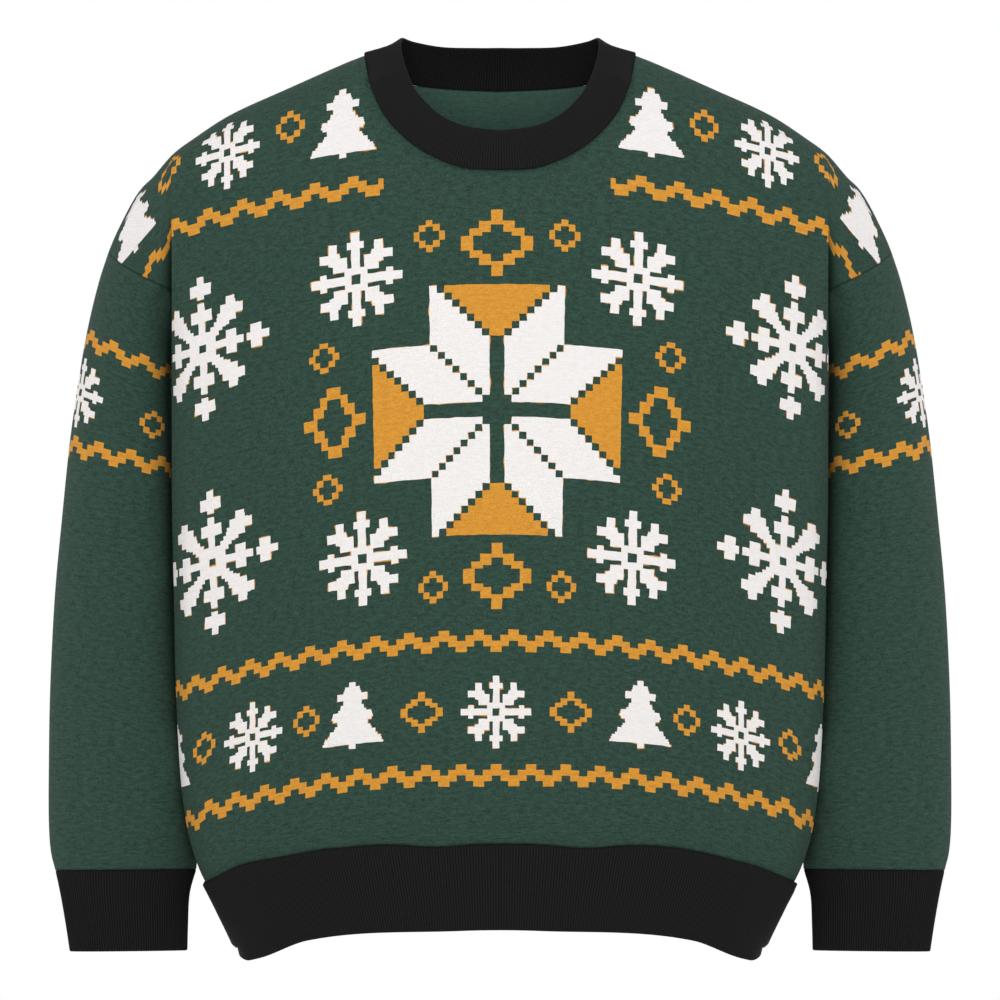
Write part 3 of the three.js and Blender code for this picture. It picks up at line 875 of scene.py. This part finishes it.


# Charts. Each row is counted in stitches from the motif's middle line: the first number
# ends a run that starts there, and the other two are the start and end of a second run. Rows run
# from the top down, or from the middle outwards where a motif mirrors up and down. The snowflakes
# and the star also mirror over their diagonals. A stitch is its width and height in mm.
charts = {
    "zigzag": {"stitch": (2.95, 2.12), "rows": 2 * [(1.4, 0, 0)] + 2 * [(3.5, 0, 0)]
               + 2 * [(0, 1.2, 5)] + 2 * [(0, 3.15, 5)]},
    "tree": {"stitch": (1.62, 1.8), "rows": [(half, 0, 0) for half in (
        1.6, 1.6, 3.7, 4, 4.5, 7.6, 7.6, 7.6, 4.6, 4.6, 5.8, 6, 7.1, 9.7, 10, 10.4, 9.7, 7.7, 7.6, 8.9, 9.5,
        11.6, 11.8, 12.8, 14.3, 14.7, 15.4, 1.6, 1.6)]},
    "snowflake": {"stitch": (1.41, 1.375), "rows": [
        (0, 0, 0), (0, 0, 0), (3, 0, 0), (4, 0, 0), (5, 0, 0), (1.8, 3.7, 6), (1.8, 3.7, 7),
        (1.8, 3.7, 8), (1.8, 3.7, 9), (1.8, 3.7, 10), (1.8, 6.5, 11), (1.8, 6.8, 12), (1.8, 7.9, 11.5),
        (3.6, 7.9, 11.5), (3.6, 7.9, 11.5), (3.6, 7.9, 11.5), (1.8, 0, 0), (1.8, 0, 0), (1.8, 0, 0),
        (1.8, 0, 0)]},
    "greatSnowflake": {"stitch": (2.9, 2.9), "rows": [
        (0, 0, 0), (2, 0, 0), (3, 0, 0), (4, 0, 0), (1, 2.6, 5), (1, 3.6, 6), (1, 4.4, 7), (3.1, 4.7, 8),
        (3.1, 5.6, 9), (3.1, 5.6, 10), (1, 7.3, 10), (1, 7.3, 9.8), (0, 0, 0), (1, 0, 0), (3.1, 0, 0),
        (3.1, 0, 0), (3.1, 0, 0), (1, 0, 0), (1, 0, 0)]},
    "diamond": {"stitch": (1.55, 1.75), "rows": 2 * [(0, 4.7, 7.4)] + 2 * [(0, 1.8, 5)] + [
        (5, 0, 0), (1.6, 0, 0), (1.6, 0, 0)]},
    "greatDiamond": {"stitch": (1.55, 1.75), "rows": 2 * [(0, 7.1, 10.7)] + [
        (0, 4.4, 8.1), (0, 1.9, 8.1), (0, 1.9, 5.3), (5.3, 0, 0), (1.7, 0, 0), (1.7, 0, 0), (1.7, 0, 0)]},
    "star": {"stitch": (5.6, 5.6), "rows": [(0, max(1, row - 8), min(8, row - 1) + 1) for row in range(17)]},
    "starNotch": {"stitch": (5.6, 5.6), "rows": [(max(0, row - 9), 0, 0) for row in range(17)]},
}
chartSpan = 64  # stitches that a chart's numbers are shares of
rampRows = 51  # a colour ramp is read in 255 steps, so a row of the chart is five of them


# 1 where a stitch at (x, y) mm from the chart's middle line and first row is in the chart's yarn
def chartYarn(tree, name, x, y, scale=1):
    wide, high = [size * scale for size in charts[name]["stitch"]]
    share = addNode(tree, "Math", (y, high * rampRows), operation="DIVIDE")
    ramp = addNode(tree, "ValToRGB", (share,))
    ramp.color_ramp.interpolation = "CONSTANT"
    stops = ramp.color_ramp.elements
    for i, row in enumerate(charts[name]["rows"] + [(0, 0, 0)]):
        place = max(i - 0.1, 0) / rampRows
        stop = stops[i] if i < 2 else stops.new(place)
        stop.position = place
        stop.color = [value / chartSpan for value in row] + [1]
    runs = addNode(tree, "SeparateColor", (ramp,))
    column = addNode(tree, "Math", (x, wide * chartSpan), operation="DIVIDE")
    first = addNode(tree, "Math", (column, runs.outputs[0]), operation="LESS_THAN")
    pastStart = addNode(tree, "Math", (column, runs.outputs[1]), operation="GREATER_THAN")
    beforeEnd = addNode(tree, "Math", (column, runs.outputs[2]), operation="LESS_THAN")
    second = addNode(tree, "Math", (pastStart, beforeEnd), operation="MULTIPLY")
    return addNode(tree, "Math", (first, second), operation="MAXIMUM")


# how far x is from the nearest of some places
def nearestOf(tree, x, places):
    nearest = None
    for place in places:
        gap = addNode(tree, "Math", (x, place), operation="SUBTRACT")
        gap = addNode(tree, "Math", (gap,), operation="ABSOLUTE")
        nearest = gap if nearest is None else addNode(tree, "Math", (nearest, gap), operation="MINIMUM")
    return nearest


def eightfold(tree, name, x, y, scale=1):
    far = addNode(tree, "Math", (x, y), operation="MAXIMUM")
    near = addNode(tree, "Math", (x, y), operation="MINIMUM")
    return chartYarn(tree, name, near, far, scale)


# rows above a chart's first row are empty
def belowTop(tree, name, x, down, scale=1):
    inside = addNode(tree, "Math", (down, 0), operation="GREATER_THAN")
    return addNode(tree, "Math", (chartYarn(tree, name, x, down, scale), inside), operation="MULTIPLY")


def anyOf(tree, masks):
    total = masks[0]
    for mask in masks[1:]:
        total = addNode(tree, "Math", (total, mask), operation="MAXIMUM")
    return total


# where the motifs lie: their course's level, and x in mm at their own height
motifs = table(("chart", "level", "places"), [
    ("tree", -42, (117, 277)), ("snowflake", -45, (205,)), ("diamond", -37, (157,)), ("diamond", -40, (250,)),
    ("tree", -494.5, (109, 252)), ("snowflake", -497, (0, 185)), ("diamond", -494, (144, 222)),
    ("greatDiamond", -496.5, (56.5,)), ("greatSnowflake", -189, (223.5,)), ("greatSnowflake", -353, (216,)),
])
whiteCharts = ("tree", "snowflake", "greatSnowflake")
greatStretch = 0.89  # the great snowflakes are drawn wider than high
zigzagRows = {
    "yoke": {"level": -92, "half": 14.77, "shift": 11.1, "from": 84},
    "upper": {"level": -443, "half": 13.6, "shift": 13.6, "from": 0},
    "lower": {"level": -545, "half": 13.6, "shift": 0, "from": 0},
}
middlePattern = {
    "level": -268, "diamondAt": 126, "diamondScale": 1.6, "flakeAt": 106, "flakeScale": 1.3,
    "beadAt": (50, 133),
}


def placeOn(x, level):
    return knitAt(x, courseHeight(x, level))[0]


def drawMotif(tree, x, level, motif):
    chart, at = motif["chart"], motif["level"]
    across = nearestOf(tree, x, [placeOn(place, at) for place in motif["places"]])
    if chart == "tree":
        top = at + len(charts[chart]["rows"]) * charts[chart]["stitch"][1] / 2
        return belowTop(tree, chart, across, addNode(tree, "Math", (top, level), operation="SUBTRACT"))
    if chart == "greatSnowflake":
        across = addNode(tree, "Math", (across, greatStretch), operation="MULTIPLY")
    up = nearestOf(tree, level, [at])
    return (eightfold if chart in whiteCharts else chartYarn)(tree, chart, across, up)


def zigzagRow(tree, x, level, row):
    top = row["level"] + len(charts["zigzag"]["rows"]) * charts["zigzag"]["stitch"][1] / 2
    down = addNode(tree, "Math", (top, level), operation="SUBTRACT")
    shifted = addNode(tree, "Math", (x, row["shift"]), operation="ADD")
    across = addNode(tree, "Math", (shifted, row["half"]), operation="PINGPONG")
    mask = belowTop(tree, "zigzag", across, down)
    outside = addNode(tree, "Math", (x, row["from"]), operation="GREATER_THAN")
    return addNode(tree, "Math", (mask, outside), operation="MULTIPLY") if row["from"] else mask


# what front and back have alike: rows of trees, snowflakes and diamonds between zigzags
def whiteRows(tree, x, level):
    return anyOf(tree, [drawMotif(tree, x, level, motif) for motif in motifs if motif["chart"] in whiteCharts])


def goldRows(tree, x, level):
    masks = [drawMotif(tree, x, level, motif) for motif in motifs if motif["chart"] not in whiteCharts]
    return anyOf(tree, masks + [zigzagRow(tree, x, level, row) for row in zigzagRows.values()])


# the front's middle: an eight-petalled star in a wreath of snowflakes and diamonds
def wreath(tree, x, level):
    up = nearestOf(tree, level, [middlePattern["level"]])
    far = addNode(tree, "Math", (x, up), operation="MAXIMUM")
    near = addNode(tree, "Math", (x, up), operation="MINIMUM")
    return near, far


def whiteFront(tree, x, level):
    near, far = wreath(tree, x, level)
    flake = [nearestOf(tree, side, [middlePattern["flakeAt"]]) for side in (near, far)]
    return anyOf(tree, [
        whiteRows(tree, x, level),
        chartYarn(tree, "star", near, far),
        eightfold(tree, "snowflake", *flake, middlePattern["flakeScale"]),
    ])


def goldFront(tree, x, level):
    near, far = wreath(tree, x, level)
    outer = nearestOf(tree, far, [middlePattern["diamondAt"]])
    bead = [nearestOf(tree, side, [at]) for side, at in zip((near, far), middlePattern["beadAt"])]
    return anyOf(tree, [
        goldRows(tree, x, level),
        chartYarn(tree, "starNotch", near, far),
        chartYarn(tree, "greatDiamond", near, outer, middlePattern["diamondScale"]),
        chartYarn(tree, "diamond", *bead),
    ])


# the sleeve's rows, placed round it from its outer line
sleeveRow = {
    "snowflake": (-256, (14, -98)), "diamond": (-264, (84, -42)),
    "zigzags": [{"level": level, "half": 13, "shift": 9, "from": 0} for level in (-213, -298)],
}


def whiteSleeve(tree, x, level):
    at, places = sleeveRow["snowflake"]
    return eightfold(tree, "snowflake", nearestOf(tree, x, places), nearestOf(tree, level, [at]))


def goldSleeve(tree, x, level):
    at, places = sleeveRow["diamond"]
    masks = [chartYarn(tree, "diamond", nearestOf(tree, x, places), nearestOf(tree, level, [at]))]
    return anyOf(tree, masks + [zigzagRow(tree, x, level, row) for row in sleeveRow["zigzags"]])


# a group whose inputs are a stitch's place and whose output is 1 where the pattern puts the yarn
def makePatternGroup(pattern, mirrored):
    group = bpy.data.node_groups.new(pattern.__name__, "ShaderNodeTree")
    for name in ("Along", "Level"):
        group.interface.new_socket(name, in_out="INPUT", socket_type="NodeSocketFloat")
    group.interface.new_socket("Yarn", in_out="OUTPUT", socket_type="NodeSocketFloat")
    source = group.nodes.new("NodeGroupInput")
    result = group.nodes.new("NodeGroupOutput")
    along = source.outputs[0]
    if mirrored:
        along = addNode(group, "Math", (along,), operation="ABSOLUTE")
    group.links.new(pattern(group, along, source.outputs[1]).outputs[0], result.inputs[0])
    return group


# Cotton and acrylic yarn in a fine jacquard jersey: soft, matt and a little fuzzy, so it has sheen
# and almost no highlight. The dye is uneven along a course, which gives level streaks and flecks.
# A stitch is 0.9 mm wide in the real one, and is drawn 1.5 mm wide so that it shows.
jersey = {
    "green": ("#1a2e26", "#3a574b"), "gold": ("#c17f26", "#e3a23f"), "white": ("#e6e2e1", "#f4f1f0"),
    # the inside's green is far lighter than the outside's: painted light, standing in for light that hardly reaches
    # inside the body
    "inside": ("#3b5c50", "#577b6d"),
    # the stitch share darkens the colour between the stitches as painted shade
    "streak": (6.5, 2.4), "fleck": (1.8, 0.8), "fleckShare": 1.2, "stitch": (1.5, 1.2), "stitchPaintedShade": 0.22,
    "roughness": 0.9, "specular": 0.15, "sheen": 0.02, "sheenRoughness": 0.5,
    # painted shadow along the seams: the colour is darkened to this share within this width of a seam
    "seamShadowWidth": 1.5, "seamPaintedShade": 0.35,
    "relief": 0.00035, "aside": (3.0, 2.2), "wobble": 1.1, "wobbleSize": 9.0,
    "sliver": 3.4, "sliverSize": 11.0,
}


def startCloth(name, finish):
    material = bpy.data.materials.new(name)
    material.use_nodes = True
    tree = material.node_tree
    shader = tree.nodes["Principled BSDF"]
    shader.inputs["Roughness"].default_value = finish["roughness"]
    shader.inputs["Specular IOR Level"].default_value = finish["specular"]
    shader.inputs["Sheen Weight"].default_value = finish["sheen"]
    shader.inputs["Sheen Roughness"].default_value = finish["sheenRoughness"]
    return material, tree, shader, addNode(tree, "Attribute", attribute_name="knit").outputs["Vector"]


# uneven dye as noise drawn out along the courses
def dyeNoise(tree, place, size, turn):
    stretched = addNode(tree, "VectorMath", (place, (1 / size[0], 1 / size[1], 1)), operation="MULTIPLY")
    return addNode(tree, "TexNoise", {"Vector": stretched, "W": turn, "Scale": 1.0, "Detail": 3.0,
                                      "Roughness": 0.6}, noise_dimensions="4D")


# a jersey stitch's two legs lean together in a V; 1 on top of the yarn and 0 between
def stitchHeight(tree, place, size):
    split = addNode(tree, "SeparateXYZ", (place,))
    wale = addNode(tree, "Math", (split.outputs[0], size[0] / 2), operation="PINGPONG")
    leg = addNode(tree, "Math", (wale, 2 / size[0]), operation="MULTIPLY")
    course = addNode(tree, "Math", (split.outputs[1], 1 / size[1]), operation="MULTIPLY")
    lean = addNode(tree, "Math", (leg, -0.7, course), operation="MULTIPLY_ADD")
    wave = addNode(tree, "Math", (addNode(tree, "Math", (lean, 2 * math.pi), operation="MULTIPLY"),),
                   operation="SINE")
    lifted = addNode(tree, "Math", (wave, 0.5, 0.5), operation="MULTIPLY_ADD")
    ridge = addNode(tree, "Math", (addNode(tree, "Math", (leg, math.pi), operation="MULTIPLY"),),
                    operation="SINE")
    return addNode(tree, "Math", (lifted, addNode(tree, "Math", (ridge, 0.6, 0.4), operation="MULTIPLY_ADD")),
                   operation="MULTIPLY")


def makeJersey(name, whitePattern=None, goldPattern=None, inside=False, mirrored=True):
    material, tree, shader, place = startCloth(name, jersey)
    streaks = dyeNoise(tree, place, jersey["streak"], 1.0)
    flecks = dyeNoise(tree, place, jersey["fleck"], 4.0)
    tone = addNode(tree, "MapRange", {
        "Value": addNode(tree, "Math", (flecks, jersey["fleckShare"], streaks), operation="MULTIPLY_ADD"),
        "From Min": 0.78, "From Max": 1.42})

    def yarnTones(yarn):
        dark, light = [toLinear(code) for code in jersey[yarn]]
        return addNode(tree, "Mix", (tone, dark, light), data_type="RGBA")

    # the inside takes the lighter green, painted light for the dim inside of the body
    colour = yarnTones("inside" if inside else "green")
    if whitePattern:
        bend = addNode(tree, "TexNoise", {"Vector": place, "Scale": 1 / jersey["wobbleSize"], "Detail": 1.0})
        centred = addNode(tree, "VectorMath", (bend.outputs["Color"], (0.5, 0.5, 0.5)), operation="SUBTRACT")
        moved = addNode(tree, "VectorMath", (centred, (jersey["wobble"],) * 3, place), operation="MULTIPLY_ADD")
        # the pattern lies a little to one side, more so in the rows above the hem
        level = addNode(tree, "SeparateXYZ", (place,)).outputs[1]
        aside = addNode(tree, "MapRange", {
            "Value": level, "From Min": -425.0, "From Max": -410.0,
            "To Min": jersey["aside"][0] * mirrored, "To Max": jersey["aside"][1] * mirrored})
        moved = addNode(tree, "VectorMath", (moved, addNode(tree, "CombineXYZ", (aside,))), operation="ADD")
        slip = addNode(tree, "TexNoise", {"Vector": place, "Scale": 1 / jersey["sliverSize"], "Detail": 0.0})
        slipped = addNode(tree, "VectorMath", (slip.outputs["Color"], (0.5, 0.5, 0.5)), operation="SUBTRACT")
        slipped = addNode(tree, "VectorMath", (slipped, (jersey["sliver"],) * 3, moved),
                          operation="MULTIPLY_ADD")
        # the gold float shows as a thin sliver where it slips out from behind the white
        yarns = []
        whiteGroup = makePatternGroup(whitePattern, mirrored)
        for group, at in ((makePatternGroup(goldPattern, mirrored), moved), (whiteGroup, slipped), (whiteGroup, moved)):
            split = addNode(tree, "SeparateXYZ", (at,))
            yarn = tree.nodes.new("ShaderNodeGroup")
            yarn.node_tree = group
            for socket in (0, 1):
                tree.links.new(split.outputs[socket], yarn.inputs[socket])
            yarns.append(yarn)
        gold, white = anyOf(tree, yarns[:2]), yarns[2]
        colour = addNode(tree, "Mix", (gold, colour, yarnTones("gold")), data_type="RGBA")
        colour = addNode(tree, "Mix", (white, colour, yarnTones("white")), data_type="RGBA")
    # painted shade between the stitches: the colour is darker where the yarn dips between wales and courses
    height = stitchHeight(tree, place, jersey["stitch"])
    shade = addNode(tree, "Math", (height, jersey["stitchPaintedShade"], 1 - jersey["stitchPaintedShade"] / 2),
                    operation="MULTIPLY_ADD")
    # painted shadow: the colour darkens close to a seam, where the cloth dips in
    seam = addNode(tree, "MapRange", {
        "Value": addNode(tree, "SeparateXYZ", (place,)).outputs[2], "From Min": 0.0,
        "From Max": jersey["seamShadowWidth"], "To Min": jersey["seamPaintedShade"], "To Max": 1.0})
    shade = addNode(tree, "Math", (shade, seam), operation="MULTIPLY")
    shaded = addNode(tree, "VectorMath", (colour, shade), operation="SCALE")
    tree.links.new(shaded.outputs[0], shader.inputs["Base Color"])
    raised = addNode(tree, "Math", (streaks, 0.8, height), operation="MULTIPLY_ADD")
    bump = addNode(tree, "Bump", {"Strength": 1.0, "Distance": jersey["relief"], "Height": raised})
    tree.links.new(bump.outputs[0], shader.inputs["Normal"])
    return material


# Cotton and elastane 1 by 1 rib, black: matt, with painted shade that makes the grooves between the ribs
# darker than their crowns, and the doubled band's tone uneven round it.
ribbing = {
    "shadedGroove": "#030303", "crown": "#181818", "tone": (5.0, 9.0), "fleck": (0.9, 2.4),
    "roughness": 0.88, "specular": 0.15, "sheen": 0.005, "sheenRoughness": 0.4, "relief": 0.0002,
}


def makeRibbing():
    material, tree, shader, place = startCloth("ribbedCotton", ribbing)
    split = addNode(tree, "SeparateXYZ", (place,))
    turn = addNode(tree, "Math", (split.outputs[0], 2 * math.pi / rib["pitch"]), operation="MULTIPLY")
    crown = addNode(tree, "Math", (addNode(tree, "Math", (turn,), operation="COSINE"), 0.5, 0.5),
                    operation="MULTIPLY_ADD")
    tones = dyeNoise(tree, place, ribbing["tone"], 2.0)
    flecks = dyeNoise(tree, place, ribbing["fleck"], 5.0)
    uneven = addNode(tree, "Math", (tones, flecks), operation="ADD")
    share = addNode(tree, "Math", (crown, uneven), operation="MULTIPLY")
    # painted shade: the grooves between the ribs take the darker colour, the crowns the lighter
    colours = [toLinear(ribbing[name]) for name in ("shadedGroove", "crown")]
    colour = addNode(tree, "Mix", (share, *colours), data_type="RGBA")
    tree.links.new(next(output for output in colour.outputs if output.enabled), shader.inputs["Base Color"])
    bump = addNode(tree, "Bump", {"Strength": 1.0, "Distance": ribbing["relief"], "Height": flecks})
    tree.links.new(bump.outputs[0], shader.inputs["Normal"])
    return material


# Emulsion paint on a smooth board: pale, matt and very slightly mottled.
paint = {"colours": ("#f0efec", "#f6f5f3"), "mottle": 0.12, "roughness": 0.8}


def makePaint():
    material = bpy.data.materials.new("emulsionPaint")
    material.use_nodes = True
    tree = material.node_tree
    shader = tree.nodes["Principled BSDF"]
    shader.inputs["Roughness"].default_value = paint["roughness"]
    place = addNode(tree, "TexCoord").outputs["Object"]
    mottle = addNode(tree, "TexNoise", {"Vector": place, "Scale": 1 / paint["mottle"], "Detail": 4.0})
    colours = [toLinear(code) for code in paint["colours"]]
    colour = addNode(tree, "Mix", (mottle, *colours), data_type="RGBA")
    tree.links.new(next(output for output in colour.outputs if output.enabled), shader.inputs["Base Color"])
    return material


# the wrong side, its green lightened as painted light for the dim inside
litJerseyInside = makeJersey("jerseyWrongSideLit", inside=True)
frontJersey = makeJersey("jacquardJerseyFront", whiteFront, goldFront)
backJersey = makeJersey("jacquardJerseyBack", whiteRows, goldRows)
sleeveJersey = makeJersey("jacquardJerseySleeve", whiteSleeve, goldSleeve, mirrored=False)
ribbedCotton = makeRibbing()
print("materials made")

wallThickness = 2.0
panels = []
for face in ("front", "back"):
    piece = thicken(makePanel(face, face + "Panel"), wallThickness)
    panels.append((piece, face + "_panel", 0.38 if face == "front" else 0.31))
for side, word in ((1, "left"), (-1, "right")):
    piece = thicken(makeSleeve(word + "Sleeve", side), wallThickness)
    panels.append((piece, "sleeve_" + word, 0.137))
print("panels and sleeves made")
bands = [(makeCollar(), "neck_rib", 0.018), (makeHem(), "hem_rib", 0.065)]
bands += [(makeCuff(word + "Cuff", side), "cuff_" + word, 0.0156) for side, word in ((1, "left"), (-1, "right"))]
print("ribs made")

finishes = {
    "front_panel": [frontJersey, litJerseyInside], "back_panel": [backJersey, litJerseyInside],
    "sleeve_left": [sleeveJersey, litJerseyInside], "sleeve_right": [sleeveJersey, litJerseyInside],
}
for made, slotName in ((panels, "green_knit"), (bands, "black_rib")):
    for piece, node, area in made:
        for material in finishes.get(node, [ribbedCotton]):
            piece.data.materials.append(material)
        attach(piece, "root")
        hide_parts(node)


# studio: white all round, a pale floor below the hem and four soft lights
studio = {
    "floorZ": -0.86, "floorSize": 3.0,
    "lights": table(("name", "place", "size", "watts"), [
        ("front", (0, -3.2, 0.5), 2.4, 34), ("left", (-2.6, -1.8, 0.9), 1.6, 5), ("right", (2.6, -1.8, 0.9), 1.6, 5),
        ("rear", (0, 2.8, 1.2), 2.0, 14),
    ]),
    "aim": (0, 0, -0.33),
}


def makeStudio():
    world = bpy.data.worlds.new("studio")
    world.use_nodes = True
    world.node_tree.nodes["Background"].inputs["Color"].default_value = (1, 1, 1, 1)
    world.node_tree.nodes["Background"].inputs["Strength"].default_value = 1.0
    bpy.context.scene.world = world
    for light in studio["lights"]:
        lamp = bpy.data.lights.new(light["name"], "AREA")
        lamp.size = light["size"]
        lamp.energy = light["watts"]
        holder = bpy.data.objects.new(light["name"], lamp)
        holder.location = light["place"]
        holder.rotation_euler = (Vector(studio["aim"]) - Vector(light["place"])).to_track_quat("-Z", "Y").to_euler()
        bpy.context.scene.collection.objects.link(holder)
    half = studio["floorSize"] / 2
    mesh = bpy.data.meshes.new("floor")
    corners = [(-half, -half), (half, -half), (half, half), (-half, half)]
    mesh.from_pydata([(x, y, studio["floorZ"]) for x, y in corners], [], [(0, 1, 2, 3)])
    mesh.materials.append(makePaint())
    floor = bpy.data.objects.new("floor", mesh)
    bpy.context.scene.collection.objects.link(floor)


makeStudio()
bpy.context.scene.view_settings.view_transform = "Standard"
print("studio made")
